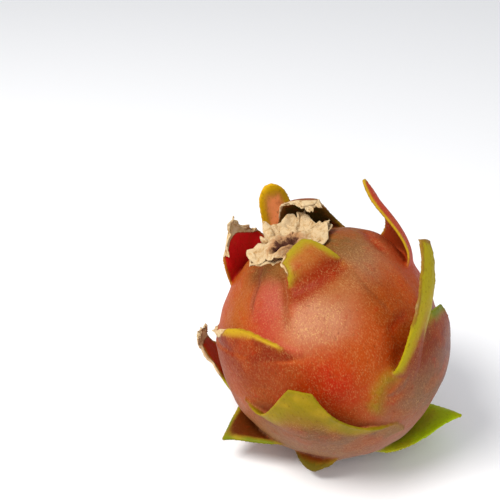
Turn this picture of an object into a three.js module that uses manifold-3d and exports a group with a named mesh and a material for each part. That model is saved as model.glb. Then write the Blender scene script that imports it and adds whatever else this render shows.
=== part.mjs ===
// A whole dragon fruit, as picked: a round body whose skin peels off into leafy scales that
// spiral round it up to the navel, and the dried remains of the flower sitting in the navel.
// Millimetres, +Z up. The fruit leans over as it lies, on a small flat spot at the origin.

import * as THREE from 'three';
import { mergeVertices } from 'three/addons/utils/BufferGeometryUtils.js';
import Module from 'manifold-3d';

const wasm = await Module();
wasm.setup();

// Body, in the fruit's own frame: centre at the origin, navel on +Z, seen from the front on -Y
const BODY_RADIUS = 44;
const NAVEL_RADIUS = 46.5; // from the centre to the navel's rim
const STEM_RADIUS = 44.5; // from the centre to the stem end
const NAVEL_DIMPLE = { depth: 3, spread: 13 }; // spread in degrees
const STEM_DIMPLE = { depth: 2, spread: 9 };
const BODY_DETAIL = 12; // splits of each edge of the icosahedron

// How the fruit lies
const LEAN = new THREE.Vector3(-0.346, 0.12, 0.932).normalize(); // the way the navel points
const CENTRE_HEIGHT = 43.4; // a little less than the radius, which leaves the flat spot

// Cut stem in the middle of the stem end
const STEM_STUB = { radius: 5.5, sunk: 6, height: 1.2, sides: 12 };

// Scales: the thickness of a blade and how its root meets the body
const ROOT_THICKNESS = 2.4;
const TIP_THICKNESS = 1.3;
const EDGE_THICKNESS = 0.8;
const RAMP = 2; // behind its root a blade runs out over this many times its rise along the root's pitch
const RAMP_LIMIT = 10; // but never over more than this
const RAMP_DEPTH = 0.5; // and ends this far inside the body
const MARGIN_FADE = 4; // a root's ends stay sunk in the body for about this length
const MIN_HALF_WIDTH = 0.6;
const BLADE_ACROSS = 6;
const BLADE_ALONG = 8;
const ROW_SPACING = 1.25; // above 1 the rows crowd towards the root
const MID_LINE_STEPS = 40;

// Dried flower: a crumpled disc with a ragged rim and a hollow middle
const FLOWER_RADIUS = 15.5;
const FLOWER_SHIFT = -3.5; // to the left, as the navel sits a little askew
const FLOWER_LOBES = [
  { count: 2, size: 1.4, phase: 0.5 },
  { count: 5, size: 1.1, phase: 2.1 },
  { count: 9, size: 0.7, phase: 0.3 },
];
const FLOWER_THICKNESS = 2.6;
const FLOWER_GAP = 0.4; // between the disc and the body under it
const FLOWER_RIM_LIFT = 2.4;
const FLOWER_TILT = 0.6; // share by which the back is thicker and lifted more, and the front less
const FLOWER_HOLLOW = { radius: 6, depth: 1.6 };
const FLOWER_SIDES = 36;
const FLOWER_RINGS = 7;

const SLIVER = 0.06; // detail under this size is dropped from the joined fruit

const DEGREE = Math.PI / 180;

// What a scale has if its line below says nothing else. Lengths are in millimetres, angles in degrees.
const USUAL_SCALE = {
  heading: 0, // 0 points at the navel, and more turns to the right
  rise: 2.4, // how far the root stands off the body
  skew: 0, // how far the root's right end lies ahead of its left end
  smile: 1, // how far both ends lie ahead of the middle
  flare: 0.22, // the share of the length over which the wide root narrows to the tongue
  tip: 0.1, // the tip's width as a share of the tongue's
  taper: 1.8,
  sway: 0, // how far the tip leans sideways
  twist: 0,
  cup: 0.02, // curvature across the tip, in 1/mm, and 0.023 is that of the body
  wave: 0.5, // height of the waves along the margin
};

// around: degrees about the axis, from the front to the right. down: degrees from the navel.
// pitch: angle off the body's tangent at the root, midway and at the tip.
const SCALES = [
  // round the navel
  { around: 19, down: 33, heading: -19, length: 15.3, root: 23, tongue: 23, pitch: [32, 7, -27],
    skew: -2.7, tip: 0.63, taper: 1, sway: -19, twist: -5 },
  { around: -118, down: 39, heading: 10, length: 16.6, root: 30, tongue: 27, pitch: [38, 50, 35],
    tip: 0.74, taper: 2.1, sway: -8, twist: 3 },
  { around: 182, down: 29, heading: -6, length: 27.1, root: 36, tongue: 24, pitch: [30, 59, -40],
    tip: 0.56, taper: 1.1, sway: -26, twist: 7 },
  { around: -165, down: 50, heading: 7, length: 34.2, root: 23, tongue: 12, pitch: [23, 40, 9],
    tip: 0.58, taper: 1.5, sway: -19 },
  { around: 107, down: 58, heading: 3, length: 32.6, root: 24, tongue: 23, pitch: [34, 24, 6],
    skew: 4, smile: 3.5, tip: 0.19, taper: 2.6, sway: 12, twist: 28, cup: 0.12 },
  // upper side
  { around: -53, down: 67, heading: -3, length: 9.5, root: 64, tongue: 38, pitch: [13, 17, -6],
    flare: 0.4, taper: 2.5, sway: -13, twist: -10 },
  { around: 158, down: 80, heading: 6, length: 24, root: 44, tongue: 20, pitch: [16, 8, -20], sway: 20 },
  { around: -140, down: 84, heading: -6, length: 28, root: 36, tongue: 16, pitch: [20, 36, 10], tip: 0.3 },
  // widest part
  { around: 44, down: 93, heading: 10, length: 49.3, root: 20, tongue: 8, pitch: [14, 41, -26],
    rise: 3, skew: 6, smile: 4.4, tip: 0.73, taper: 1, sway: 16, twist: -15 },
  { around: -100, down: 102, heading: 3, length: 27.7, root: 39, tongue: 17, pitch: [16, 12, -3],
    skew: -1.8, tip: 0.39, taper: 1.6, twist: -4 },
  { around: 77, down: 112, heading: 2, length: 24.2, root: 40, tongue: 20, pitch: [12, -18, -36],
    rise: 1.8, tip: 0.49, sway: 7, twist: -7 },
  { around: -13, down: 110, heading: 1, length: 25.9, root: 54, tongue: 32, pitch: [15, 2, -25],
    rise: 2.8, skew: -11.7, smile: -1, taper: 2.4, sway: 26, twist: 7 },
  { around: -178, down: 112, heading: 4, length: 24, root: 42, tongue: 20, pitch: [16, 14, 0], sway: -15 },
  { around: 126, down: 112, heading: -4, length: 22, root: 40, tongue: 18, pitch: [16, 8, -20] },
  // stem end, spread over the surface that the fruit lies on
  { around: -70, down: 118, heading: 9, length: 15.8, root: 41, tongue: 20, pitch: [25, 52, 75],
    skew: -4.4, smile: -1, tip: 0, taper: 1.6, sway: 4, twist: 8 },
  { around: -132, down: 130, length: 17, root: 34, tongue: 16, pitch: [25, 55, 60], tip: 0.2 },
  { around: 88, down: 165, heading: 15, length: 28.1, root: 51, tongue: 27, pitch: [33, -15, 41],
    skew: 12.6, smile: 0, tip: 0, taper: 1.5, sway: -17, twist: -14 },
  { around: -35, down: 142, heading: 4, length: 6.2, root: 29, tongue: 19, pitch: [25, 51, 61],
    tip: 0.27, taper: 2.3, sway: 7 },
  { around: 164, down: 142, length: 15, root: 32, tongue: 14, pitch: [25, 50, 50] },
].map((scale) => ({ ...USUAL_SCALE, ...scale }));

const smooth = (t) => t * t * (3 - 2 * t);
const clamp01 = (t) => Math.min(1, Math.max(0, t));

// Radius of the bare body in a direction, by the cosine of its angle from the navel.
function bareRadius(cosine) {
  const polar = cosine > 0 ? NAVEL_RADIUS : STEM_RADIUS;
  const ellipse = 1 / Math.sqrt((1 - cosine ** 2) / BODY_RADIUS ** 2 + cosine ** 2 / polar ** 2);
  const angle = Math.acos(Math.min(1, Math.max(-1, cosine))) / DEGREE;
  const navel = NAVEL_DIMPLE.depth * Math.exp(-((angle / NAVEL_DIMPLE.spread) ** 2));
  const stem = STEM_DIMPLE.depth * Math.exp(-(((180 - angle) / STEM_DIMPLE.spread) ** 2));
  return ellipse - navel - stem;
}

// A scale's own axes at its root: out of the body, ahead along the scale, and across it.
function rootAxes(scale) {
  const around = scale.around * DEGREE;
  const down = scale.down * DEGREE;
  const heading = scale.heading * DEGREE;
  const out = new THREE.Vector3(
    Math.sin(down) * Math.sin(around), -Math.sin(down) * Math.cos(around), Math.cos(down));
  const right = new THREE.Vector3(Math.cos(around), Math.sin(around), 0);
  const ahead = new THREE.Vector3().crossVectors(out, right).applyAxisAngle(out, -heading);
  const across = new THREE.Vector3().crossVectors(ahead, out);
  return { out, ahead, across };
}

// The two rows of a blade behind its root: how far back each lies and how far down.
function rampRow(scale, row) {
  const fall = scale.rise / Math.tan(scale.pitch[0] * DEGREE);
  const reach = Math.min(RAMP_LIMIT, RAMP * fall);
  const back = reach * [0, 0.42, 1][row];
  const drop = scale.rise * [0, 0.57, 1][row] + RAMP_DEPTH * [0, 0, 1][row];
  return { back, drop: drop + back ** 2 / (2 * BODY_RADIUS) };
}

// The middle of a scale from root to tip: at each step a point and the blade's axes there.
function midLine(scale) {
  const { out, ahead, across } = scale.axes;
  const start = bareRadius(out.z) + scale.rise - ROOT_THICKNESS / 2;
  const point = out.clone().multiplyScalar(start);
  const line = [];
  for (let i = 0; i <= MID_LINE_STEPS; i++) {
    const v = i / MID_LINE_STEPS;
    const [first, middle, last] = scale.pitch;
    const pitch = ((1 - v) ** 2 * first + 2 * v * (1 - v) * middle + v ** 2 * last) * DEGREE;
    const tip = new THREE.Vector3();
    const forward = ahead.clone().applyAxisAngle(out, -scale.sway * DEGREE * v ** 2);
    const side = across.clone().applyAxisAngle(out, -scale.sway * DEGREE * v ** 2);
    tip.copy(forward).multiplyScalar(Math.cos(pitch)).addScaledVector(out, Math.sin(pitch));
    const face = new THREE.Vector3().crossVectors(side, tip);
    const twist = scale.twist * DEGREE * v ** 1.3;
    side.applyAxisAngle(tip, -twist);
    face.applyAxisAngle(tip, -twist);
    line.push({ point: point.clone(), side, face });
    point.addScaledVector(tip, scale.length / MID_LINE_STEPS);
  }
  return line;
}

function halfWidth(scale, v) {
  const tongue = (scale.tongue / 2) * (1 - (1 - scale.tip) * v ** scale.taper);
  const flare = (scale.root - scale.tongue) / 2 * Math.exp(-v / scale.flare);
  return Math.max(MIN_HALF_WIDTH, tongue + flare);
}

// One point of a blade: u from -1 to 1 across it, v from 0 at the root to 1 at the tip,
// face 1 on the outside and -1 on the inside. ramp is the row behind the root, if any.
function bladePoint(scale, line, u, v, face, ramp) {
  const { out, ahead } = scale.axes;
  const { point, side, face: normal } = line[Math.round(v * MID_LINE_STEPS)];
  const along = v * scale.length;
  const curve = THREE.MathUtils.lerp(1 / BODY_RADIUS, scale.cup, smooth(v));
  const x = u * halfWidth(scale, v);
  const middle = THREE.MathUtils.lerp(ROOT_THICKNESS, TIP_THICKNESS, 1 - (1 - v) ** 0.6);
  const thickness = EDGE_THICKNESS + (middle - EDGE_THICKNESS) * (1 - u ** 2);
  const wave = scale.wave * u * Math.abs(u) * v * Math.sin(8.2 * v + scale.down);
  const ends = (scale.rise * (1 - (1 - u ** 2) ** 2) + 0.4 * u ** 2) * Math.exp(-along / MARGIN_FADE);
  const crease = (scale.smile * u ** 2 + scale.skew * u) * (1 - v) ** 2;
  const { back, drop } = rampRow(scale, ramp);
  return point.clone()
    .addScaledVector(side, Math.sin(x * curve) / curve)
    .addScaledVector(normal, (Math.cos(x * curve) - 1) / curve + wave + (face * thickness) / 2)
    .addScaledVector(out, -ends - drop)
    .addScaledVector(ahead, crease - back);
}

function solidOf(geometry) {
  geometry.deleteAttribute('normal');
  geometry.deleteAttribute('uv');
  const merged = mergeVertices(geometry);
  return new wasm.Manifold(new wasm.Mesh({
    numProp: 3,
    vertProperties: new Float32Array(merged.attributes.position.array),
    triVerts: new Uint32Array(merged.index.array),
  }));
}

function geometryOf(solid) {
  const mesh = solid.getMesh();
  const geometry = new THREE.BufferGeometry();
  geometry.setAttribute('position', new THREE.BufferAttribute(mesh.vertProperties, 3));
  geometry.setIndex(new THREE.BufferAttribute(mesh.triVerts, 1));
  geometry.computeVertexNormals();
  return geometry;
}

// Moves every point of a geometry by a function from its old place to its new one.
function reshape(geometry, place) {
  const position = geometry.attributes.position;
  const point = new THREE.Vector3();
  for (let i = 0; i < position.count; i++) {
    point.fromBufferAttribute(position, i);
    position.setXYZ(i, ...place(point).toArray());
  }
  return geometry;
}

function makeBody() {
  const ball = new THREE.IcosahedronGeometry(1, BODY_DETAIL);
  return solidOf(reshape(ball, (point) => {
    const direction = point.clone().normalize();
    return direction.multiplyScalar(bareRadius(direction.z));
  }));
}

// A blade starts as a box whose first two rows run down into the body behind the root.
function makeScale(scale) {
  const line = midLine(scale);
  const rows = BLADE_ALONG + 2;
  const box = new THREE.BoxGeometry(2, rows, 2, BLADE_ACROSS, rows, 1);
  return solidOf(reshape(box, ({ x, y, z }) => {
    const row = Math.round(y + rows / 2) - 2;
    const v = Math.max(0, row / BLADE_ALONG) ** ROW_SPACING;
    return bladePoint(scale, line, x, v, z, Math.max(0, -row));
  }));
}

function makeStemStub() {
  const { radius, sunk, height, sides } = STEM_STUB;
  const stub = new THREE.CylinderGeometry(radius, radius * 1.1, sunk + height, sides);
  stub.rotateX(Math.PI / 2);
  const end = STEM_RADIUS - STEM_DIMPLE.depth;
  stub.translate(0, 0, -(end + (height - sunk) / 2));
  return solidOf(stub);
}

// Height of the bare body at a distance from its axis, on the navel's side.
function navelHeight(distance) {
  const cosine = Math.sqrt(1 - Math.min(0.99, distance / NAVEL_RADIUS) ** 2);
  return bareRadius(cosine) * cosine;
}

// Radius of the dried flower's ragged rim.
function flowerRim(angle) {
  return FLOWER_LOBES.reduce(
    (radius, { count, size, phase }) => radius + size * Math.sin(count * angle + phase), FLOWER_RADIUS);
}

// The disc starts as a closed profile turned round the axis, from the middle of its underside,
// out to the rim and back over to the middle of its top.
function makeDriedFlower() {
  const profile = [];
  for (let i = 0; i <= FLOWER_RINGS; i++) profile.push(new THREE.Vector2(i / FLOWER_RINGS, -1));
  for (let i = FLOWER_RINGS; i >= 0; i--) profile.push(new THREE.Vector2(i / FLOWER_RINGS, 0));
  const disc = new THREE.LatheGeometry(profile, FLOWER_SIDES);
  return solidOf(reshape(disc, ({ x, y, z }) => {
    const share = Math.hypot(x, z);
    const angle = Math.atan2(-z, x);
    const radius = share * flowerRim(angle);
    const ripple = Math.sin(7 * angle + 4 * share) + 0.7 * Math.sin(11 * angle - 3 * share + 1);
    const tilt = 1 + FLOWER_TILT * share * Math.sin(angle);
    const lift = FLOWER_RIM_LIFT * tilt * share ** 3 * (0.6 + 0.25 * ripple);
    const across = radius * Math.cos(angle) + FLOWER_SHIFT;
    const back = radius * Math.sin(angle);
    const under = navelHeight(Math.hypot(across, back)) + FLOWER_GAP + Math.max(0, lift);
    const hollow = FLOWER_HOLLOW.depth * Math.exp(-((radius / FLOWER_HOLLOW.radius) ** 4));
    const thickness = FLOWER_THICKNESS * tilt * (1 - 0.55 * share ** 2) - hollow;
    const height = y < -0.5 ? under : under + thickness;
    return new THREE.Vector3(across, back, height);
  }));
}

// Turns a solid from the fruit's own frame to how the fruit lies.
function laidDown(solid) {
  const turn = new THREE.Quaternion().setFromUnitVectors(new THREE.Vector3(0, 0, 1), LEAN);
  const place = new THREE.Matrix4().compose(
    new THREE.Vector3(0, 0, CENTRE_HEIGHT), turn, new THREE.Vector3(1, 1, 1));
  return solid.transform(place.elements);
}

// What lies under the surface, for cutting the flat spot.
function belowSurface() {
  const block = new THREE.BoxGeometry(400, 400, 40);
  block.translate(0, 0, -20);
  return solidOf(block);
}

// The outer skin alone, with any pocket that the joining sealed filled in.
function withoutPockets(solid) {
  return solid.decompose().reduce((largest, piece) => (piece.volume() > largest.volume() ? piece : largest));
}

function makeFruit() {
  for (const scale of SCALES) scale.axes = rootAxes(scale);
  const grown = SCALES.reduce((whole, scale) => whole.add(makeScale(scale)), makeBody());
  const laid = laidDown(grown.add(makeStemStub())).subtract(belowSurface());
  return withoutPockets(laid).asOriginal().simplify(SLIVER);
}

function namedMesh(name, solid, look) {
  const mesh = new THREE.Mesh(geometryOf(solid), new THREE.MeshStandardMaterial(look));
  mesh.name = name;
  return mesh;
}

const dragonFruit = new THREE.Group();
dragonFruit.add(
  namedMesh('fruit', makeFruit(), { color: 0xc4552f, roughness: 0.45, metalness: 0 }),
  namedMesh('dried_flower', laidDown(makeDriedFlower()), { color: 0xd9c39a, roughness: 0.9, metalness: 0 }),
);

export default dragonFruit;
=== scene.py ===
"""Looks of a whole dragon fruit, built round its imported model: a fused skin with its leafy scales
and the dried flower in the navel. Shapes are worked out in millimetres and stored in metres."""

import math

import bmesh
import bpy
import numpy as np
from mathutils import Matrix, Vector, noise
from mathutils.bvhtree import BVHTree


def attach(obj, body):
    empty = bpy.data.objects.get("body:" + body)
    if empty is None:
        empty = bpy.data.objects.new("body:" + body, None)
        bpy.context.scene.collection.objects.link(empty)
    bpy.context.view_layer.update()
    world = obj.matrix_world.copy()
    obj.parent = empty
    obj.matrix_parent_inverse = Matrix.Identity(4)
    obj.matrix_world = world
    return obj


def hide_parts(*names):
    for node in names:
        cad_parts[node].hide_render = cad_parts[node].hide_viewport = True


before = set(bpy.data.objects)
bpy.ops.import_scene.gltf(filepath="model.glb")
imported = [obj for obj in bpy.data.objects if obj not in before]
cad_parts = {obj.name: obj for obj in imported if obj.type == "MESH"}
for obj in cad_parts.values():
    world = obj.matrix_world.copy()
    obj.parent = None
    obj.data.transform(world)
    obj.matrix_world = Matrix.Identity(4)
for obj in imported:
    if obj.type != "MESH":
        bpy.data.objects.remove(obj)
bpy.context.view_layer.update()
noise.seed_set(7)  # the same crumples every time

MM = 0.001

# The fruit's body, in its own frame: centre at the origin, navel on +Z, front on -Y
BODY_RADIUS = 44.0
NAVEL_RADIUS = 46.5
STEM_RADIUS = 44.5
NAVEL_DIMPLE = (3.0, 13.0)  # depth in mm and reach in degrees
STEM_DIMPLE = (2.0, 9.0)
LEAN = Vector((-0.346, 0.12, 0.932)).normalized()
CENTRE_HEIGHT = 43.4
STEM_STUB = dict(radius=5.5, sunk=6.0, height=1.2, dry=0.8, margin=9.0)  # margin: how far off one is

# Scales: thickness of a blade in the middle of its root, at its tip and along its margin
ROOT_THICKNESS = 2.4
TIP_THICKNESS = 1.25
EDGE_THICKNESS = 0.85
MIN_HALF_WIDTH = 0.6
STEP_LENGTH = 1.6  # over which the swollen skin steps down in front of a root
LONGEST_FALL = 9.0  # over which it sinks back behind one, at most
MARGIN_FADE = 4.0  # over which a blade's margins leave the body
SKIRT = 8.0  # how far a blade runs on under the skin behind its root
SKIRT_ROWS = 0.14  # the share of a blade's rows that go into that
SKIRT_DIVE = 0.09  # how steeply it dives, besides following the body
REACH = 1.25  # how far past its tip a blade's lines are worked out, for what has withered there
ACROSS = 26
ALONG = 44

# The fused skin: the remesh's cells, passes of smoothing, how high valleys reach up a scale, and faces
VOXEL = 0.5
SMOOTHING = 6
VALLEY_TOP = 4.5
SKIN_FACES = 190000
CREASE_LINE = 0.7  # half width of the fine line along a crease
USUAL_FLECKS_AND_GLINTS = 0.32
RUN_ON = dict(reach=20, strength=0.85)  # how a scale's colour runs on behind its root
SHINE = 0.08  # how faintly skin and dried parts alike reflect
LIT_SKIN = (0.69, 0.66, 0.48)  # the skin's own colour, as a share of how it looks under the lights


def srgb(red, green, blue):
    """A colour as it is read off a screen, from 0 to 255, made linear."""
    return np.array([((c / 255 + 0.055) / 1.055) ** 2.4 if c > 10 else c / 3295
                     for c in (red, green, blue)])


def tone(red, green, blue):
    """A colour of the skin as it looks lit, made into its own colour."""
    return srgb(red, green, blue) * LIT_SKIN


# Colours of the skin
ORANGE = tone(190, 78, 14)
DEEP_RED = tone(182, 44, 0)
ROSY = tone(190, 64, 56)
# pale golden: painted highlight where the light falls on the waxy skin, and the same tone elsewhere
GOLD_HIGHLIGHT = tone(208, 142, 122)
TAN = tone(184, 108, 48)
BROWN = tone(150, 72, 20)
MAUVE = tone(146, 94, 58)
PLUM = tone(144, 62, 44)
OLIVE = tone(112, 86, 38)
LIME = tone(166, 160, 20)
GREEN = tone(128, 138, 16)
YELLOW = tone(208, 168, 36)
CRIMSON = tone(172, 18, 26)

# A scale's values, lengths in mm and angles in degrees.
# around, down: where its root sits, about the axis from the front to the right, and from the navel.
# heading, sway, twist: how it is turned at its root, and bent sideways and wrung on the way to its tip.
# pitch: angle off the body's tangent at the root, midway and at the tip.
# length, root, tongue: its length, and its widths at the root and beyond. flare: the share of the length
# over which one becomes the other. tip: the tip's share of the width. taper: how late it narrows.
# rise, smile, skew: how high the root stands on the body, how far its ends curve forward, and how far
# one end is ahead of the other.
# cup, wave, lip: its curve across, the height of its margins' waves, how far the margins turn out.
# cut: share of the length missing at either corner of the tip. peak: where across the tip is whole.
# round: share of the length that the tip's rounding takes. deep: how much thicker it is underneath,
# where it lies on the body.
# dry: how far it has withered past the share dry_from of its length, and, times dry_edge, along its
# margins. dry_side: -1 where only its left side has. remains: what is left of a withered tip, from the
# first to the last share of the length, with its curl and the size of its crumples in mm.
# green: width of the green margin, below 0 where only the tip is green. green_low: the share of that
# width at the root. rim: the margin's colour. outside, inside: colours of the blade's two faces, and the
# outside one runs on down the skin behind the root. flecks_and_glints: how strong the pale flecks and
# the painted glints are, 0 for as on the body.
USUAL_SCALE = dict(heading=0, rise=2.4, skew=0, smile=1, flare=0.22, tip=0.1, taper=1.8, sway=0,
                   twist=0, cup=0.02, wave=0.5, cut=(0, 0), peak=0, round=0, lip=0.5, deep=0,
                   dry=0.0, dry_from=0.78, dry_edge=0.7, dry_side=0, remains=None, green=5.0,
                   green_low=1.0, rim=LIME, outside=MAUVE, inside=ORANGE, flecks_and_glints=0)

SCALES = [
    # round the navel
    dict(around=19, down=33, heading=-19, length=15.3, root=23, tongue=23, pitch=(32, 7, -27),
         skew=-2.7, tip=0.63, taper=1, sway=-19, twist=-5, dry=0.8, dry_from=2, dry_side=-1,
         dry_edge=0.75, green=4.2, rim=tone(178, 158, 30), outside=TAN, inside=TAN),
    dict(around=-118, down=39, heading=10, length=20.5, root=30, tongue=27, pitch=(38, 50, 35),
         tip=0.7, taper=2.1, sway=-8, twist=3, cut=(0.4, 0.4), peak=0.1, dry=1.0, dry_from=0.74,
         dry_edge=0.1, remains=dict(first=0.92, last=1.1, curl=-1.2, size=1.4, seed=5.0),
         green=1.3, rim=tone(190, 120, 40), outside=ORANGE, inside=CRIMSON * 2.2),
    dict(around=176, down=29, heading=-6, length=27.8, root=34, tongue=20, pitch=(30, 62, -72),
         tip=0.62, taper=1.1, sway=-26, twist=7, cut=(0, 0.18), round=0.16, dry=0.8,
         remains=dict(first=0.82, last=1.0, curl=0.3, size=0.5, seed=8.0),
         green=2.5, rim=OLIVE, outside=BROWN, inside=OLIVE * 0.6),
    dict(around=-165, down=50, heading=7, length=34.8, root=23, tongue=16, pitch=(23, 40, 9),
         tip=0.66, taper=1.5, sway=-19, round=0.24, green=4.5, rim=tone(235, 185, 20),
         outside=ORANGE, inside=tone(255, 160, 112) * 1.4),
    dict(around=107, down=58, heading=3, length=34.4, root=27, tongue=15, pitch=(46, -12, 26),
         skew=4, smile=3.5, tip=0.12, taper=1.7, flare=0.3, sway=12, twist=28, cup=0.12, green=0.9,
         rim=YELLOW, outside=tone(186, 60, 40) * 1.3, inside=tone(206, 76, 36)),
    # upper side
    # its outside dark red, partly painted shade under its yellow margin
    dict(around=-51, down=66, heading=2.5, smile=2.2, length=9.5, root=72, tongue=40,
         pitch=(13, 17, -6), flare=0.4, taper=2.5, sway=-13, twist=-10, dry=1.0, dry_from=0.3,
         dry_side=-1, green=2.2, rim=YELLOW, lip=1.2, outside=tone(140, 44, 14)),
    dict(around=158, down=80, heading=6, length=24, root=44, tongue=20, pitch=(16, 8, -20), sway=20,
         outside=ORANGE),
    dict(around=-140, down=84, heading=-6, length=28, root=36, tongue=16, pitch=(20, 36, 10),
         tip=0.3, outside=ROSY),
    # widest part
    dict(around=43, down=93, heading=10, length=50.6, root=18, tongue=9.5, pitch=(14, 41, -26),
         rise=3, skew=6, smile=4.4, tip=0.62, taper=5, sway=16, twist=-15, dry=0.5, dry_from=0.9,
         green=12, green_low=0.3, rim=tone(190, 174, 20), outside=tone(150, 66, 34), inside=LIME),
    dict(around=-100, down=102, heading=3, length=27.7, root=39, tongue=17, pitch=(16, 12, -3),
         skew=-1.8, tip=0.39, taper=1.6, twist=-4, dry=1.0, green=2,
         remains=dict(first=0.84, last=1.0, curl=-1.6, size=1.5, seed=2.0),
         outside=tone(150, 78, 36), inside=DEEP_RED),
    dict(around=61, down=114, heading=10, length=30.4, root=60, tongue=44, pitch=(4, -14, -32),
         rise=1.3, tip=0.34, sway=5, twist=-3, deep=5, green=-3, rim=GREEN,
         outside=tone(146, 80, 54), inside=tone(140, 66, 34)),
    dict(around=-13, down=110, heading=1, length=26.2, root=56, tongue=22, pitch=(15, 2, -25),
         rise=2.8, skew=-11.7, smile=-1, flare=0.34, tip=0.3, taper=2.2, sway=26, twist=7, green=13,
         rim=tone(156, 136, 12), outside=tone(128, 78, 44), flecks_and_glints=0.5),
    dict(around=-178, down=112, heading=4, length=24, root=42, tongue=20, pitch=(16, 14, 0),
         sway=-15, outside=TAN),
    dict(around=130, down=114, heading=-4, length=20, root=38, tongue=18, pitch=(10, -6, -28),
         rise=1.6, deep=3, outside=PLUM),
    # stem end
    dict(around=-70, down=118, heading=9, length=15.8, root=41, tongue=20, pitch=(25, 52, 75),
         skew=-4.4, smile=-1, tip=0, taper=1.6, sway=4, twist=8, green=3.5, rim=GREEN,
         inside=tone(104, 44, 6)),
    dict(around=-132, down=130, length=17, root=34, tongue=16, pitch=(25, 55, 60), tip=0.2),
    dict(around=88, down=165, heading=15, length=28.1, root=51, tongue=27, pitch=(33, -15, 41),
         skew=12.6, smile=0, tip=0, taper=1.5, sway=-17, twist=-14, green=12,
         rim=tone(128, 150, 4) * 2.5, outside=GREEN * 1.6, inside=GREEN * 1.9),
    dict(around=-35, down=142, heading=4, length=6.2, root=29, tongue=19, pitch=(25, 51, 61),
         tip=0.27, taper=2.3, sway=7, green=5, rim=tone(120, 104, 24), outside=OLIVE),
    dict(around=164, down=142, length=15, root=32, tongue=14, pitch=(25, 50, 50)),
]
SCALES = [{**USUAL_SCALE, **scale} for scale in SCALES]

# What a point of the skin belongs to: a scale by its number, or one of these
STEM = len(SCALES)
BODY = -1

# Patches of colour on the body, the pale golden ones painted highlight: place, half size along and across in
# degrees, strength, and how strong their flecks and painted glints are
PATCHES = [
    dict(colour=ROSY, around=-27, down=46, size=(20, 12), strength=0.9),
    dict(colour=tone(180, 92, 20), around=-54, down=48, size=(18, 12), strength=0.75),
    # the broad painted highlight on the upper front, with the strongest flecks and glints
    dict(colour=GOLD_HIGHLIGHT, around=6, down=54, size=(14, 17), strength=0.95, flecks_and_glints=1.0),
    dict(colour=DEEP_RED, around=2, down=86, size=(16, 15), strength=0.9),
    dict(colour=tone(196, 34, 8), around=6, down=80, size=(9, 9), strength=0.6),
    dict(colour=DEEP_RED, around=-20, down=92, size=(10, 14), strength=0.5),
    dict(colour=tone(188, 130, 112), around=60, down=36, size=(14, 30), strength=0.75, flecks_and_glints=0.9),
    dict(colour=BROWN, around=45, down=60, size=(14, 12), strength=0.5),
    dict(colour=DEEP_RED, around=38, down=80, size=(12, 7), strength=0.45),
    dict(colour=BROWN, around=-40, down=84, size=(16, 14), strength=0.55),
    dict(colour=DEEP_RED, around=95, down=50, size=(16, 16), strength=0.8),
    dict(colour=ROSY, around=170, down=75, size=(24, 26), strength=0.7),
    dict(colour=GOLD_HIGHLIGHT, around=-120, down=70, size=(18, 22), strength=0.6, flecks_and_glints=0.8),
    dict(colour=DEEP_RED, around=-172, down=58, size=(13, 20), strength=0.7),
    dict(colour=GOLD_HIGHLIGHT, around=140, down=62, size=(16, 18), strength=0.8, flecks_and_glints=0.9),
    dict(colour=DEEP_RED, around=-160, down=96, size=(14, 16), strength=0.7),
    dict(colour=GOLD_HIGHLIGHT, around=168, down=98, size=(14, 16), strength=0.5, flecks_and_glints=0.8),
    dict(colour=DEEP_RED, around=-105, down=95, size=(14, 14), strength=0.6),
    dict(colour=BROWN, around=118, down=88, size=(16, 14), strength=0.6),
    dict(colour=OLIVE, around=70, down=8, size=(31, 29), strength=0.9),
    dict(colour=tone(100, 62, 26), around=-44, down=25, size=(8, 9), strength=0.85),
    dict(colour=tone(126, 100, 48), around=-16, down=27, size=(6, 7), strength=0.7),
    dict(colour=tone(192, 96, 88), around=-22, down=38, size=(9, 8), strength=0.6),
]

# Greyish mauve over skin and scales alike, low down and on the right: partly bloom, partly painted
# reflection of the sky and floor
BLOOM_AND_PAINTED_REFLECTION = [
    dict(colour=tone(168, 152, 164), around=0, down=180, size=(50, 50), strength=0.85, flecks_and_glints=1.0),
    dict(colour=tone(144, 106, 88), around=-14, down=128, size=(14, 30), strength=0.75, flecks_and_glints=0.9),
    dict(colour=tone(148, 114, 136), around=80, down=102, size=(26, 17), strength=0.75, flecks_and_glints=1.0),
    dict(colour=tone(142, 104, 78), around=45, down=112, size=(15, 20), strength=0.6, flecks_and_glints=0.9),
    dict(colour=tone(142, 104, 72), around=-52, down=116, size=(20, 24), strength=0.75, flecks_and_glints=0.6),
    # a darker brown patch on the left flank: painted shade
    dict(colour=tone(136, 74, 30), around=-72, down=88, size=(20, 12), strength=0.6),
]

# Gentle unevenness of the body: place, size in degrees, height in mm
LUMPS = [
    dict(around=-85, down=66, size=30, height=1.7),
    dict(around=88, down=96, size=32, height=-1.9),
    dict(around=-80, down=25, size=7, height=1.6),
    dict(around=-25, down=40, size=12, height=0.8),
    dict(around=10, down=55, size=16, height=0.7),
    dict(around=-30, down=80, size=12, height=-0.8),
    dict(around=38, down=85, size=8, height=-1.6),
    dict(around=110, down=40, size=14, height=1.2),
]
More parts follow.
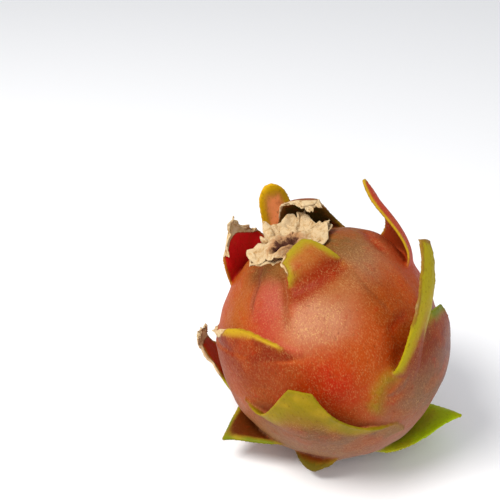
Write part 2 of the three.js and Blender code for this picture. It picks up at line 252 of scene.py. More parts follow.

# Creases and ridges: a path of (around, down), depth in mm (a ridge's is below 0) and half width in mm,
# the colour laid along it, in the valleys mostly darker as painted shade, and how strongly, how sharp a
# painted dark shade line runs along it, and whether it runs on over a low scale
USUAL_CREASE = dict(depth=0.6, width=1.8, strength=0.5, line=0, over=False)
CREASES = [
    # the valley along the root of the scale at the top front: dark red, partly painted shade
    dict(path=[(-14, 43), (0, 38.5), (12, 36.5), (24, 34.5), (38, 32.5), (50, 31)], depth=0.9,
         width=3.4, over=True, colour=tone(154, 44, 0), strength=1.3),
    dict(path=[(-70, 20), (-51, 24), (-40, 33), (-39, 41), (-38, 49)], depth=0.8, width=1.0,
         colour=PLUM, line=0.55),
    dict(path=[(-34, 22), (-12, 30), (-10, 38), (-11, 48), (-12, 58)], depth=0.7, width=1.4,
         colour=BROWN, strength=0.6, line=0.35),
    dict(path=[(-20, 60), (-12, 64), (-4, 68)], depth=-0.8, width=1.2, colour=ROSY),
    dict(path=[(38, 89), (33, 91), (28, 92), (24, 95), (20, 101), (17, 109)], depth=-0.6, width=2.4,
         colour=tone(160, 126, 20), strength=0.9),
    dict(path=[(86, 84), (78, 87), (59, 86), (46, 91), (40, 98)], depth=0, width=3.4, over=True,
         colour=tone(146, 48, 14), strength=0.75),
    dict(path=[(38, 72), (47, 70), (56, 70)], depth=0.4, width=1.6, colour=DEEP_RED, strength=0.7),
    dict(path=[(45, 32), (43, 50), (47, 66)], depth=0.5, width=1.6, colour=BROWN, strength=0.35, line=0.3),
    dict(path=[(80, 44), (92, 36), (112, 34)], depth=0.8, width=2.2, colour=DEEP_RED, strength=0.6),
    dict(path=[(-95, 58), (-100, 72), (-104, 88)], colour=BROWN, strength=0.3, line=0.5),
    dict(path=[(150, 45), (146, 60), (150, 76)], colour=PLUM, line=0.4),
    dict(path=[(-160, 66), (-156, 82), (-160, 98)], colour=BROWN, line=0.5),
    dict(path=[(129, 82), (124, 92), (126, 103)], depth=-0.9, width=1.6, colour=TAN, strength=0.6),
    dict(path=[(187, 80), (192, 92), (188, 104)], depth=-0.9, width=1.6, colour=GOLD_HIGHLIGHT),
    dict(path=[(-162, 86), (-169, 96), (-166, 107)], depth=-0.8, width=1.5, colour=TAN, strength=0.6),
    dict(path=[(-117, 86), (-112, 97), (-116, 106)], depth=-0.8, width=1.5, colour=TAN, strength=0.6),
    dict(path=[(128, 60), (138, 52), (150, 48), (163, 50)], depth=0.8, width=2.4, colour=DEEP_RED,
         strength=0.6),
    dict(path=[(-138, 52), (-128, 60), (-122, 72)], colour=BROWN, line=0.4),
    dict(path=[(172, 60), (170, 70), (176, 78)], width=1.4, colour=BROWN, line=0.5),
    dict(path=[(110, 70), (116, 84), (112, 98)], depth=0.5, colour=PLUM, strength=0.4, line=0.3),
]
CREASES = [{**USUAL_CREASE, **crease} for crease in CREASES]

LAID_TURN = Vector((0, 0, 1)).rotation_difference(LEAN).to_matrix()
LAID = np.array(LAID_TURN)
CENTRE = np.array([0.0, 0.0, CENTRE_HEIGHT])


def to_world(points):
    """From the fruit's own frame to how it lies, both in millimetres."""
    return points @ LAID.T + CENTRE


def smooth(t):
    t = np.clip(t, 0, 1)
    return t * t * (3 - 2 * t)


def unit(vectors):
    return vectors / np.linalg.norm(vectors, axis=-1, keepdims=True)


def bare_radius(cosine):
    """The body's radius without its scales, from the cosine of the angle from the navel."""
    polar = np.where(cosine > 0, NAVEL_RADIUS, STEM_RADIUS)
    ellipse = 1 / np.sqrt((1 - cosine ** 2) / BODY_RADIUS ** 2 + cosine ** 2 / polar ** 2)
    angle = np.degrees(np.arccos(np.clip(cosine, -1, 1)))
    navel = NAVEL_DIMPLE[0] * np.exp(-(angle / NAVEL_DIMPLE[1]) ** 2)
    stem = STEM_DIMPLE[0] * np.exp(-((180 - angle) / STEM_DIMPLE[1]) ** 2)
    return ellipse - navel - stem


def direction_of(around, down):
    """The direction from the fruit's centre to a place on it."""
    around, down = math.radians(around), math.radians(down)
    return np.array([math.sin(down) * math.sin(around), -math.sin(down) * math.cos(around), math.cos(down)])


def root_axes(scale):
    """Out of the body at a scale's root, ahead of it and across it."""
    around, heading = math.radians(scale["around"]), math.radians(scale["heading"])
    out = Vector(direction_of(scale["around"], scale["down"]))
    right = Vector((math.cos(around), math.sin(around), 0))
    ahead = Matrix.Rotation(-heading, 3, out) @ out.cross(right)
    return np.array(out), np.array(ahead), np.array(ahead.cross(out))


def fall_behind(scale):
    """Over how many mm the swollen skin sinks back behind a scale's root."""
    return min(LONGEST_FALL, scale["rise"] / math.tan(math.radians(scale["pitch"][0])))


def past_root(directions, scale, spread=1.0):
    """How far past a scale's root line directions lie in mm, where across it, and whether near it."""
    out, ahead, across = root_axes(scale)
    depth = directions @ out
    sideways = BODY_RADIUS * np.arctan2(directions @ across, np.maximum(depth, 0.05))
    forward = BODY_RADIUS * np.arctan2(directions @ ahead, np.maximum(depth, 0.05))
    share = np.clip(2 * sideways / scale["root"] / spread, -1, 1)
    past = forward - scale["smile"] * share ** 2 - scale["skew"] * share
    return past, share, depth > 0.1


def swelling(directions, scale):
    """How far the skin swells under one scale's root."""
    past, share, near = past_root(directions, scale)
    behind = np.exp(np.minimum(past, 0) / fall_behind(scale))
    along = np.where(past < 0, behind, 1 - smooth(past / STEP_LENGTH))
    return np.where(near, scale["rise"] * (1 - share ** 2) ** 2 * along, 0)


def distance_to_path(directions, path):
    """How far each direction is from a path over the body, in mm."""
    nearest = np.full(len(directions), 1e3)
    stops = [direction_of(*stop) for stop in path]
    for a, b in zip(stops, stops[1:]):
        share = np.clip((directions - a) @ (b - a) / ((b - a) @ (b - a)), 0, 1)[:, None]
        nearest = np.minimum(nearest, np.linalg.norm(directions - a - share * (b - a), axis=1))
    return nearest * BODY_RADIUS


def path_share(directions, path):
    """0 at the ends of a path, 1 along its middle."""
    first, last = direction_of(*path[0]), direction_of(*path[-1])
    share = (directions - first) @ (last - first) / ((last - first) @ (last - first))
    return smooth(share / 0.2) * smooth((1 - share) / 0.2)


def depth_of(directions, crease):
    far = distance_to_path(directions, crease["path"]) / crease["width"]
    return crease["depth"] * np.exp(-far ** 2) * path_share(directions, crease["path"])


def unevenness(directions):
    """Lumps, creases and slow waves of the body's surface."""
    height = np.zeros(len(directions))
    for lump in LUMPS:
        far = np.degrees(np.arccos(np.clip(directions @ direction_of(lump["around"], lump["down"]), -1, 1)))
        height += lump["height"] * np.exp(-(far / lump["size"]) ** 2)
    for crease in CREASES:
        if not crease["over"]:
            height -= depth_of(directions, crease)
    waves = np.array([noise.noise(Vector(d) * 2.6) + 0.4 * noise.noise(Vector(d) * 7) for d in directions])
    return height + 0.8 * waves


def body_radius(directions):
    """The body's radius with its unevenness and the swellings under its scales."""
    swellings = sum(swelling(directions, scale) ** 3 for scale in SCALES)
    return bare_radius(directions[:, 2]) + np.cbrt(swellings) + unevenness(directions)


def turned(vector, axis, angle):
    return np.array(Matrix.Rotation(angle, 3, Vector(axis)) @ Vector(vector))


def mid_line(scale, steps=80):
    """Points from root to past the tip, with the blade's side and face there."""
    out, ahead, across = root_axes(scale)
    point = out * (bare_radius(out[2:])[0] + scale["rise"] - ROOT_THICKNESS / 2)
    points, sides, faces = [], [], []
    for i in range(steps + 1):
        v = REACH * i / steps
        first, middle, last = scale["pitch"]
        pitch = math.radians((1 - v) ** 2 * first + 2 * v * (1 - v) * middle + v ** 2 * last)
        sway = math.radians(-scale["sway"] * v ** 2)
        forward = turned(ahead, out, sway)
        side = turned(across, out, sway)
        tip = forward * math.cos(pitch) + out * math.sin(pitch)
        face = np.cross(side, tip)
        twist = math.radians(-scale["twist"] * v ** 1.3)
        points.append(point)
        sides.append(turned(side, tip, twist))
        faces.append(turned(face, tip, twist))
        point = point + tip * scale["length"] * REACH / steps
    return np.array(points), np.array(sides), np.array(faces)


def spot_in_noise(place, size, seed):
    """Where a place in mm lies in the noise, for folds of a size."""
    return Vector(place) / size + Vector((seed * 7.3, seed * 3.1, seed * 5.7))


def broad_folds(places, size, seed):
    """Soft folds that meet in sharp creases: a vector for each place in mm."""
    folds = np.empty((len(places), 3))
    for i, place in enumerate(places):
        spot = spot_in_noise(place, size, seed)
        folds[i] = noise.noise_vector(spot)
        folds[i][2] = 0.6 - 2 * abs(noise.noise(spot * 1.1))
    return folds


def half_width(scale, v):
    """Half a blade's width at a share of its length."""
    tongue = scale["tongue"] / 2 * (1 - (1 - scale["tip"]) * np.minimum(v, 1) ** scale["taper"])
    flare = (scale["root"] - scale["tongue"]) / 2 * np.exp(-v / scale["flare"])
    width = tongue + flare
    if scale["round"]:
        rounded = np.clip((v - 1 + scale["round"]) / scale["round"], 0, 1)
        width = width * np.sqrt(np.clip(1 - rounded ** 2, 0, 1))
    return np.maximum(MIN_HALF_WIDTH, width)


def dryness_of(scale, u, v, margin):
    """How far each place of a blade has withered: its tip first, then its margins."""
    edge = scale["dry_edge"] * smooth(1.2 - margin / 1.5) * smooth(3 * v - 0.6)
    withered = scale["dry"] * np.maximum(smooth((v - scale["dry_from"]) / 0.16), edge)
    if scale["dry_side"]:
        withered = withered * smooth(scale["dry_side"] * u * 2.5 - 0.4) * smooth(2 - margin / 2)
    return withered


def crumpled(places, size, seed):
    """Sharp random folds: a vector for each place in mm, about as long as 1."""
    folds = np.empty((len(places), 3))
    for i, place in enumerate(places):
        spot = spot_in_noise(place, size, seed)
        folds[i] = (noise.noise_vector(spot) * 1.2 + noise.noise_vector(spot * 2.3) * 0.6
                    + noise.noise_vector(spot * 5.1) * 0.25)
    return folds


def blade_points(scale, u, v, face, back):
    """Places of a blade's points: u across, v along, face outside or inside, back behind the root."""
    out, ahead, _ = root_axes(scale)
    points, sides, faces = mid_line(scale)
    peak = scale["peak"]
    ends_at = (1 - scale["cut"][0] * smooth((peak - u) / (1 + peak))
               - scale["cut"][1] * smooth((u - peak) / (1 - peak)))
    at = v * (1 + (ends_at - 1) * v) * (len(points) - 1) / REACH
    low = np.clip(at.astype(int), 0, len(points) - 2)
    part = (at - low)[:, None]
    point, side, normal = (a[low] * (1 - part) + a[low + 1] * part for a in (points, sides, faces))
    along = v * scale["length"]
    curve = (1 - smooth(v)) / BODY_RADIUS + smooth(v) * scale["cup"]
    x = u * half_width(scale, v)
    middle = ROOT_THICKNESS + (TIP_THICKNESS - ROOT_THICKNESS) * (1 - np.maximum(1 - v, 0) ** 0.6)
    thickness = EDGE_THICKNESS + (middle - EDGE_THICKNESS) * (1 - u ** 2)
    wave = scale["wave"] * u * np.abs(u) * v * np.sin(8.2 * v + scale["down"])
    ends = (scale["rise"] * (1 - (1 - u ** 2) ** 2) + 0.4 * u ** 2) * np.exp(-along / MARGIN_FADE)
    crease = (scale["smile"] * u ** 2 + scale["skew"] * u) * (1 - v) ** 2
    sunk = (scale["rise"] * (1 - np.exp(-back / fall_behind(scale)))
            + back ** 2 / (2 * BODY_RADIUS) + SKIRT_DIVE * back)
    margin = np.minimum((1 - np.abs(u)) * half_width(scale, v), np.abs(1 - v) * scale["length"])
    lip = scale["lip"] * np.exp(-(margin / 1.6) ** 2) * smooth(along / 4) * (scale["dry"] < 0.5)
    places = (point
              + side * (np.sin(x * curve) / curve)[:, None]
              + normal * ((np.cos(x * curve) - 1) / curve + wave + lip + face * thickness / 2
                          - scale["deep"] * (face < 0) * (1 - u ** 4) * (1 - v ** 3))[:, None]
              - out * (ends + sunk)[:, None]
              + ahead * (crease - back)[:, None])
    if scale["dry"]:
        flat = np.stack([x, along, np.zeros_like(x)], axis=1)
        places = places + crumpled(flat, 5.0, scale["down"]) * dryness_of(scale, u, v, margin)[:, None]
    return places


def points_of(bm):
    return np.array([vertex.co for vertex in bm.verts])


def place(bm, points):
    for vertex, point in zip(bm.verts, points):
        vertex.co = point


def make_blade(scale):
    """A closed blade in the fruit's frame, and for each point where it is across and along the blade,
    on which face, and how far from the margin."""
    bm = bmesh.new()
    bmesh.ops.create_grid(bm, x_segments=ACROSS, y_segments=ALONG, size=1)
    grown = bmesh.ops.extrude_face_region(bm, geom=bm.faces[:], use_keep_orig=True)["geom"]
    outer = [element for element in grown if isinstance(element, bmesh.types.BMVert)]
    bmesh.ops.translate(bm, vec=(0, 0, 1), verts=outer)
    grid = points_of(bm)
    u = grid[:, 0]
    rows = (grid[:, 1] + 1) / 2
    v = np.clip((rows - SKIRT_ROWS) / (1 - SKIRT_ROWS), 0, 1) ** 1.15
    back = np.clip((SKIRT_ROWS - rows) / SKIRT_ROWS, 0, 1) * SKIRT
    face = grid[:, 2] * 2 - 1
    place(bm, blade_points(scale, u, v, face, back))
    bmesh.ops.recalc_face_normals(bm, faces=bm.faces[:])
    only_tip = 50 if scale["green"] < 0 else 0
    to_side = (1 - np.abs(u)) * half_width(scale, v) + only_tip
    to_tip = (1 - v) * scale["length"] * 0.6
    return bm, np.stack([u, v, face, np.minimum(to_side, to_tip)], axis=1)


def make_stem_stub():
    """What is left of the stem under the fruit, with its cut face, and its points' marks as a blade's."""
    bm = bmesh.new()
    height = STEM_STUB["sunk"] + STEM_STUB["height"]
    bmesh.ops.create_cone(bm, cap_ends=True, segments=40, radius1=STEM_STUB["radius"] - 0.4,
                          radius2=STEM_STUB["radius"] + 1.2, depth=height)
    foot = -(STEM_RADIUS - STEM_DIMPLE[0]) + STEM_STUB["sunk"] - height / 2
    bmesh.ops.translate(bm, vec=(0, 0, foot), verts=bm.verts[:])
    bmesh.ops.subdivide_edges(bm, edges=bm.edges[:], cuts=3, use_grid_fill=True)
    points = points_of(bm)
    place(bm, points + crumpled(points, 3.0, 5) * 0.35)
    bmesh.ops.triangulate(bm, faces=bm.faces[:])
    bmesh.ops.recalc_face_normals(bm, faces=bm.faces[:])
    return bm, np.tile((0.0, 0.0, 0.0, STEM_STUB["margin"]), (len(bm.verts), 1))


def make_parts_of_skin():
    """Body, blades and stem stub in one mesh, with each point's kind and marks."""
    whole = bmesh.new()
    bmesh.ops.create_icosphere(whole, subdivisions=7, radius=1)
    directions = unit(points_of(whole))
    place(whole, directions * body_radius(directions)[:, None])
    kinds = [np.full(len(directions), BODY)]
    marks = [np.zeros((len(directions), 4))]
    for kind, (bm, its_marks) in enumerate([make_blade(scale) for scale in SCALES] + [make_stem_stub()]):
        add(whole, bm)
        kinds.append(np.full(len(its_marks), kind))
        marks.append(its_marks)
    return whole, np.concatenate(kinds), np.concatenate(marks)


def flat_spot(points):
    """Nothing goes under the surface that the fruit lies on."""
    points[:, 2] = np.maximum(points[:, 2], 0)
    return points


def mesh_of(name, bm):
    mesh = bpy.data.meshes.new(name)
    bm.to_mesh(mesh)
    return mesh


def add(whole, bm):
    """Moves one shape into another."""
    mesh = mesh_of("part", bm)
    whole.from_mesh(mesh)
    bpy.data.meshes.remove(mesh)
    bm.free()


def joined(shapes):
    """Many shapes as one."""
    whole = bmesh.new()
    for bm in shapes:
        add(whole, bm)
    return whole


def shown(name, mesh):
    piece = bpy.data.objects.new(name, mesh)
    bpy.context.scene.collection.objects.link(piece)
    return piece


def apply_modifiers(piece):
    """Puts what a piece's modifiers do into its mesh."""
    evaluated = piece.evaluated_get(bpy.context.evaluated_depsgraph_get())
    mesh = bpy.data.meshes.new_from_object(evaluated)
    old = piece.data
    piece.modifiers.clear()
    piece.data = mesh
    bpy.data.meshes.remove(old)


def coordinates(mesh):
    flat = np.empty(len(mesh.vertices) * 3)
    mesh.vertices.foreach_get("co", flat)
    return flat.reshape(-1, 3)


def set_coordinates(mesh, points):
    mesh.vertices.foreach_set("co", points.astype(np.float32).ravel())
    mesh.update()


def neighbours_mean(mesh):
    """A function that gives each vertex the mean of its neighbours' values."""
    edges = np.empty(len(mesh.edges) * 2, dtype=np.int64)
    mesh.edges.foreach_get("vertices", edges)
    edges = edges.reshape(-1, 2)
    count = np.bincount(edges.ravel(), minlength=len(mesh.vertices))

    def mean(values):
        total = np.zeros_like(values)
        for axis in range(values.shape[1]):
            for here, there in (edges.T, edges.T[::-1]):
                total[:, axis] += np.bincount(here, weights=values[there, axis], minlength=len(values))
        return total / np.maximum(count, 1)[:, None]
    return mean


def blurred(mean, values):
    """Values of a mesh's points, spread a little way over it."""
    for _ in range(3):
        values = 0.4 * values + 0.6 * mean(values)
    return values


def relaxed(mesh, points, passes):
    """Smooths without shrinking, one step in and one step out."""
    mean = neighbours_mean(mesh)
    for _ in range(passes):
        points = points + 0.5 * (mean(points) - points)
        points = points - 0.52 * (mean(points) - points)
    return points


def patch_share(directions, patch):
    """1 in the middle of a patch, fading out past its size."""
    middle = direction_of(patch["around"], patch["down"])
    down_way = direction_of(patch["around"], patch["down"] + 90)
    along = np.degrees(np.arcsin(np.clip(directions @ down_way, -1, 1)))
    across = np.degrees(np.arcsin(np.clip(directions @ np.cross(middle, down_way), -1, 1)))
    far = np.hypot(along / patch["size"][0], across / patch["size"][1])
    return np.where(directions @ middle > 0, np.exp(-far ** 3), 0) * patch["strength"]


def behind_root(directions, scale, reach):
    """1 just behind a scale's root, fading out over a reach in mm."""
    past, share, near = past_root(directions, scale, 1.1)
    return np.where((past < 0.5) & near, (1 - share ** 2) * smooth(1 + past / reach), 0)


def laid_over(colour, other, share):
    """Colours with another laid over them, by a share for each point."""
    share = share[:, None]
    return colour * (1 - share) + other * share


def ground_colour(directions, kinds, faces, along):
    """The skin's broad colours, with painted highlights, painted reflection and painted shade in its
    valleys, before its mottling, margins and spots.
    """
    outer = faces >= 0
    colour = np.tile(ORANGE, (len(directions), 1))
    for patch in PATCHES:
        colour = laid_over(colour, patch["colour"], patch_share(directions, patch))
    for index, scale in enumerate(SCALES):
        share = behind_root(directions, scale, RUN_ON["reach"]) * RUN_ON["strength"] * (kinds == BODY)
        colour = laid_over(colour, scale["outside"], np.where(kinds == index, 1.0, share))
        shade = (0.5 + 0.5 * smooth(along / 0.45))[:, None]
        inner = np.where(kinds == index, smooth(0.5 - faces), 0)
        colour = laid_over(colour, scale["inside"] * shade, inner)
    # bloom and painted reflection of the sky and floor, on the outer faces
    for patch in BLOOM_AND_PAINTED_REFLECTION:
        colour = laid_over(colour, patch["colour"], patch_share(directions, patch) * outer)
    # creases coloured along their paths, in the valleys mostly darker as painted shade
    for crease in CREASES:
        far = distance_to_path(directions, crease["path"]) / crease["width"] / 1.3
        share = np.exp(-far ** 2) * path_share(directions, crease["path"]) * crease["strength"]
        where = outer if crease["over"] else kinds == BODY
        colour = laid_over(colour, crease["colour"], np.clip(share, 0, 1) * where)
    return colour


def nearest_marks(source, kinds, marks, points):
    """What lies nearest each point on the unfused shapes: its kind and its marks."""
    source.verts.ensure_lookup_table()
    source.verts.index_update()
    tree = BVHTree.FromBMesh(source)
    found_kind = np.empty(len(points), dtype=int)
    found = np.empty((len(points), marks.shape[1]))
    corners = [[vertex.index for vertex in face.verts] for face in source.faces]
    places = points_of(source)
    for i, point in enumerate(points):
        _, _, index, _ = tree.find_nearest(point)
        near = corners[index]
        weights = 1 / (np.linalg.norm(places[near] - point, axis=1) + 1e-4)
        found_kind[i] = kinds[near[0]]
        found[i] = weights @ marks[near] / weights.sum()
    return found_kind, found


def store(mesh, name, values):
    """Keeps a number or a colour for each of a mesh's points, for its finish to read."""
    kind = "FLOAT_COLOR" if values.ndim == 2 else "FLOAT"
    attribute = mesh.attributes.new(name, kind, "POINT")
    if values.ndim == 2:
        values = np.concatenate([values, np.ones((len(values), 1))], axis=1)
        attribute.data.foreach_set("color", values.astype(np.float32).ravel())
    else:
        attribute.data.foreach_set("value", values.astype(np.float32))


def fused(source):
    """One skin over all its parts, with its valleys, laid down as the fruit lies, in metres."""
    skin = shown("skin", mesh_of("skin", source))
    remesh = skin.modifiers.new("fuse", "REMESH")
    remesh.mode = "VOXEL"
    remesh.voxel_size = VOXEL
    remesh.use_smooth_shade = True
    apply_modifiers(skin)
    points = relaxed(skin.data, coordinates(skin.data), SMOOTHING)
    for crease in CREASES:
        if crease["over"]:
            ways = unit(points)
            low = np.linalg.norm(points, axis=1) < bare_radius(ways[:, 2]) + VALLEY_TOP
            points = points - ways * (depth_of(ways, crease) * low)[:, None]
    set_coordinates(skin.data, points)
    set_coordinates(skin.data, flat_spot(to_world(coordinates(skin.data))) * MM)
    fewer = skin.modifiers.new("fewer", "DECIMATE")
    fewer.ratio = min(1.0, SKIN_FACES / (2 * len(skin.data.polygons)))
    apply_modifiers(skin)
    for polygon in skin.data.polygons:
        polygon.use_smooth = True
    return skin


def of_kind(kinds, key, stem, body):
    """Each point's value from the scale that it belongs to, or else the stem's or the body's."""
    return np.array([scale[key] for scale in SCALES] + [stem, body])[kinds]


def green_share(kinds, along, margin):
    """How green each point is: scales are green along their margins, and less so near the root."""
    low = of_kind(kinds, "green_low", 1, 1)
    width = np.abs(of_kind(kinds, "green", 1, 1)) * (low + (1 - low) * smooth(along * 1.9 - 0.2))
    grown = smooth(along * of_kind(kinds, "length", 1, 1) / 5)
    return np.clip(1 - margin / width, 0, 1) * (0.25 + 0.75 * grown)


def dry_share(kinds, marks):
    """How far each point has withered."""
    dry = np.zeros(len(kinds))
    for index, scale in enumerate(SCALES):
        here = kinds == index
        across, along, _, margin = marks[here].T
        dry[here] = dryness_of(scale, across, along, margin)
    dry[kinds == STEM] = STEM_STUB["dry"]
    return np.clip(dry, 0, 1)


def crease_lines(directions, kinds):
    """The fine dark lines along the body's creases, painted as shade."""
    line = np.zeros(len(kinds))
    for crease in CREASES:
        if crease["line"]:
            far = distance_to_path(directions, crease["path"])
            sharp = crease["line"] * np.exp(-(far / CREASE_LINE) ** 2)
            line = np.maximum(line, sharp * path_share(directions, crease["path"]))
    line[kinds != BODY] = 0
    return line


def fleck_and_glint_share(directions, kinds):
    """How strongly each point is flecked and given painted glints."""
    flecks_and_glints = np.full(len(kinds), USUAL_FLECKS_AND_GLINTS)
    for patch in PATCHES + BLOOM_AND_PAINTED_REFLECTION:
        flecks_and_glints = np.maximum(flecks_and_glints, patch_share(directions, patch) * patch.get("flecks_and_glints", 0))
    for index, scale in enumerate(SCALES):
        if scale["flecks_and_glints"]:
            flecks_and_glints[kinds == index] = scale["flecks_and_glints"]
    return flecks_and_glints


def mark_skin(skin, source, source_kinds, source_marks):
    """Gives the skin's points the colours and shares that its finish reads."""
    points = (coordinates(skin.data) / MM - CENTRE) @ LAID
    directions = unit(points)
    kinds, marks = nearest_marks(source, source_kinds, source_marks, points)
    _, along, face, margin = marks.T
    on_blade = (kinds >= 0) & (kinds < STEM)
    green = np.where(on_blade, green_share(kinds, along, margin), 0)
    inner = np.where(on_blade, smooth(0.5 - face), 0)
    mean = neighbours_mean(skin.data)
    shares = blurred(mean, np.stack([green, dry_share(kinds, marks), inner], axis=1))
    for name, share in zip(("green", "dry", "inner"), shares.T):
        store(skin.data, name, share)
    store(skin.data, "ground", blurred(mean, ground_colour(directions, kinds, face, along)))
    store(skin.data, "rim", blurred(mean, of_kind(kinds, "rim", BROWN, LIME)))
    store(skin.data, "line", crease_lines(directions, kinds))
    store(skin.data, "flecks_and_glints", mean(fleck_and_glint_share(directions, kinds)[:, None])[:, 0])


skin_parts, part_kinds, part_marks = make_parts_of_skin()
skin = fused(skin_parts)
mark_skin(skin, skin_parts, part_kinds, part_marks)
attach(skin, "root")
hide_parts("fruit")


def sheet_from_grid(across, along):
    """A flat grid and its places: s and t from 0 to 1."""
    bm = bmesh.new()
    bmesh.ops.create_grid(bm, x_segments=across, y_segments=along, size=0.5)
    grid = points_of(bm)
    return bm, grid[:, 0] + 0.5, grid[:, 1] + 0.5


def finished_sheet(bm, points, thickness):
    """Places a sheet's points, in mm in the fruit's frame, and gives it its thickness."""
    place(bm, flat_spot(to_world(points)))
    bmesh.ops.remove_doubles(bm, verts=bm.verts[:], dist=0.02)
    bmesh.ops.recalc_face_normals(bm, faces=bm.faces[:])
    bm.normal_update()
    facing = bm.verts.layers.float_vector.new("facing")
    for vertex in bm.verts:
        vertex[facing] = vertex.normal
    grown = bmesh.ops.extrude_face_region(bm, geom=bm.faces[:], use_keep_orig=True)
    for element in grown["geom"]:
        if isinstance(element, bmesh.types.BMVert):
            element.co -= element[facing] * thickness
    bm.verts.layers.float_vector.remove(facing)
    bmesh.ops.recalc_face_normals(bm, faces=bm.faces[:])
    bmesh.ops.scale(bm, vec=(MM, MM, MM), verts=bm.verts[:])
    for face in bm.faces:
        face.smooth = True
    return bm


def closed_curve(stops, turns):
    """Points of a smooth closed curve through its stops, at shares of one turn."""
    stops = np.array(stops, dtype=float)
    at = (turns % 1) * len(stops)
    i = at.astype(int) % len(stops)
    f = (at - at.astype(int))[:, None]
    a, b, c, d = (stops[(i + k) % len(stops)] for k in (-1, 0, 1, 2))
    return 0.5 * (2 * b + (c - a) * f + (2 * a - 5 * b + 4 * c - d) * f ** 2
                  + (3 * b - a - 3 * c + d) * f ** 3)


# Rim of the dried flower, anticlockwise from its right-hand side, in the fruit's frame
FLOWER_RIM = [
    (13.5, 0, 46.6), (12.2, 5, 47.6), (8.0, 7, 48.8), (4.6, 12.5, 52.8), (0.5, 10.5, 51.0), (-5, 10, 50.6),
    (-10.8, 9.5, 51.6), (-12.6, 5, 49.6), (-12.5, 1, 47.2), (-19.2, -2, 46.6), (-18.2, -7, 45.0),
    (-12.5, -10, 44.6), (-8, -14.2, 43.2), (-2, -14.8, 43.8), (4, -13, 44.6), (10.5, -8, 45.2),
]
FLOWER_MIDDLE = np.array([-3.2, -6.5, 45.2])
FLOWER_HOLLOW = 4.2

# Its layers from the top down: how far they spread as a share of the rim, the height of the fold round
# the hollow and of the pleats, and how far they lie below the first, in mm
FLOWER_LAYERS = [
    dict(spread=1.0, raised=2.2, fold=1.1, lowered=0, seed=1.3),
    dict(spread=0.86, raised=0.8, fold=0.9, lowered=1.6, seed=4.1),
    dict(spread=0.95, raised=0.2, fold=0.7, lowered=2.2, seed=7.7),
]
LAYER_GRID = (168, 44)  # round the flower and outwards
LAYER_THICKNESS = 0.4
THREADS = 70
THREAD_SEED = 0.7

# What is left of a withered tip
REMAINS_GRID = (72, 34)
REMAINS_THICKNESS = 0.35


def make_corolla(spread, raised, fold, lowered, seed):
    """One crumpled layer of the dried flower, from its hollow out to its ragged rim."""
    bm, turn, share = sheet_from_grid(*LAYER_GRID)
    angle = turn * math.tau
    rim = closed_curve(FLOWER_RIM, turn)
    out = rim - FLOWER_MIDDLE
    ragged = np.array([noise.noise(Vector((math.cos(a) * 3, math.sin(a) * 3, seed))) * 0.1
                       + noise.noise(Vector((math.cos(a) * 9, math.sin(a) * 9, seed))) * 0.035
                       for a in angle])
    length = np.linalg.norm(out[:, :2], axis=1) * (spread + ragged)
    way = out[:, :2] / np.linalg.norm(out[:, :2], axis=1)[:, None]
    inner = FLOWER_HOLLOW * (0.75 + 0.35 * np.abs(np.sin(angle * 1.5 + seed)))
    reach = inner * 0.25 + (length - inner * 0.25) * share
    flat = FLOWER_MIDDLE[:2] + way * reach[:, None]
    ring = np.exp(-((reach - inner - 2.6) / 2.4) ** 2) * raised
    pit = -2.6 * np.exp(-(reach / inner) ** 4)
    rise = out[:, 2] * share ** 1.6
    pleats = fold * share * (0.4 + 0.6 * share) * np.sin(angle * 6 + 3 * share + 2 * seed
                                                        + 2.5 * np.sin(angle * 2 + seed))
    height = FLOWER_MIDDLE[2] + ring + pit + rise + pleats - lowered
    points = np.concatenate([flat, height[:, None]], axis=1)
    # the same folds on both sides of the seam
    wrapped = np.stack([np.cos(angle) * (6 + reach), np.sin(angle) * (6 + reach), share * 6], axis=1)
    points += broad_folds(wrapped, 8.0, seed) * (0.6 + 1.2 * share)[:, None] * 1.5
    points += broad_folds(wrapped, 3.2, seed + 1) * 0.45
    over = np.linalg.norm(points, axis=1)
    ground = body_radius(unit(points)) + 0.7 - lowered * 0.2
    points *= (np.maximum(over, ground) / over)[:, None]
    return finished_sheet(bm, points, LAYER_THICKNESS)


def make_thread(k):
    """One dried stamen: a short bent thread in the flower's hollow."""
    around = k * 2.4 + THREAD_SEED
    reach = 0.6 + 3.4 * ((k * 0.618) % 1)
    start = FLOWER_MIDDLE + np.array([math.cos(around) * reach * 1.5, math.sin(around) * reach, -2.4])
    lean = np.array(noise.noise_vector(Vector((k * 1.7, THREAD_SEED, 2)))) * 3.5
    length = 0.6 + 1.1 * ((k * 0.37) % 1)
    bm = bmesh.new()
    ring = bmesh.ops.create_circle(bm, segments=6, radius=0.3 + 0.2 * ((k * 0.71) % 1))["verts"]
    bmesh.ops.translate(bm, vec=start, verts=ring)
    edges = bm.edges[:]
    for step in range(5):
        grown = bmesh.ops.extrude_edge_only(bm, edges=edges)["geom"]
        ring = [element for element in grown if isinstance(element, bmesh.types.BMVert)]
        edges = [element for element in grown if isinstance(element, bmesh.types.BMEdge)]
        bend = (lean * (step + 1) / 9
                + np.array(noise.noise_vector(Vector((k, step, THREAD_SEED)))) * 0.35)
        bmesh.ops.translate(bm, vec=bend + np.array([0, 0, length / 5]), verts=ring)
    bmesh.ops.holes_fill(bm, edges=bm.edges[:], sides=6)
    place(bm, to_world(points_of(bm)) * MM)
    bmesh.ops.recalc_face_normals(bm, faces=bm.faces[:])
    return bm


